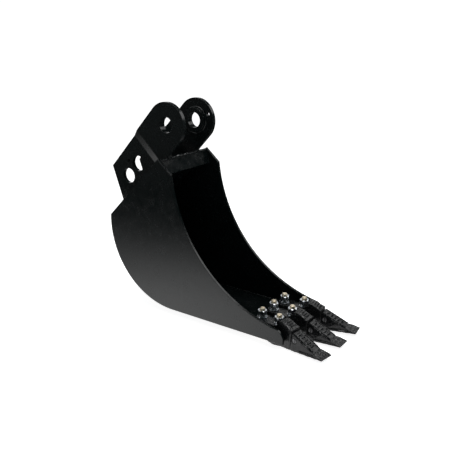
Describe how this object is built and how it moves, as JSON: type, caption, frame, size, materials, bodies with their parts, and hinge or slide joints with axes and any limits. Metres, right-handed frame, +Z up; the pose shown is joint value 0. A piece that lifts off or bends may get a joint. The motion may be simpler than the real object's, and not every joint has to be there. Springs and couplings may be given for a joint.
{
  "type": "excavator bucket",
  "caption": "Narrow trenching bucket for a small excavator, with pin-on ears, a curved open body and bolted, pinned teeth.",
  "frame": {"origin": "on the axis of the dipper pin, midway between the ears", "axes": "+X towards the tooth tips, +Y towards the left side plate, along the pin bores, +Z up with the flat bottom level"},
  "size_m": [0.7639, 0.2312, 0.6183],
  "materials": {
    "black_paint": "gloss black paint over welded plate",
    "cast_steel": "black coated rough casting",
    "yellow_zinc": "yellow zinc plated",
    "bright_zinc": "bright zinc plated",
    "pin_steel": "bare rolled steel",
    "pin_rubber": "black bonded rubber"
  },
  "bodies": {
    "root": {"cutting_edge": "black_paint", "ear_left": "black_paint", "ear_right": "black_paint", "flat_washer_front_center": "bright_zinc", "flat_washer_front_left": "bright_zinc", "flat_washer_front_right": "bright_zinc", "flat_washer_rear_center": "bright_zinc", "flat_washer_rear_left": "bright_zinc", "flat_washer_rear_right": "bright_zinc", "flex_pin_center": "pin_steel", "flex_pin_left": "pin_steel", "flex_pin_right": "pin_steel", "flex_pin_rubber_center": "pin_rubber", "flex_pin_rubber_left": "pin_rubber", "flex_pin_rubber_right": "pin_rubber", "hex_nut_front_center": "bright_zinc", "hex_nut_front_left": "bright_zinc", "hex_nut_front_right": "bright_zinc", "hex_nut_rear_center": "bright_zinc", "hex_nut_rear_left": "bright_zinc", "hex_nut_rear_right": "bright_zinc", "lock_washer_front_center": "bright_zinc", "lock_washer_front_left": "bright_zinc", "lock_washer_front_right": "bright_zinc", "lock_washer_rear_center": "bright_zinc", "lock_washer_rear_left": "bright_zinc", "lock_washer_rear_right": "bright_zinc", "pin_boss_left": "black_paint", "pin_boss_right": "black_paint", "plow_bolt_front_center": "yellow_zinc", "plow_bolt_front_left": "yellow_zinc", "plow_bolt_front_right": "yellow_zinc", "plow_bolt_rear_center": "yellow_zinc", "plow_bolt_rear_left": "yellow_zinc", "plow_bolt_rear_right": "yellow_zinc", "side_plate_left": "black_paint", "side_plate_right": "black_paint", "tooth_point_center": "cast_steel", "tooth_point_left": "cast_steel", "tooth_point_right": "cast_steel", "tooth_shank_center": "cast_steel", "tooth_shank_left": "cast_steel", "tooth_shank_right": "cast_steel", "top_bar": "black_paint", "wrapper": "black_paint"}
  },
  "joints": []
}
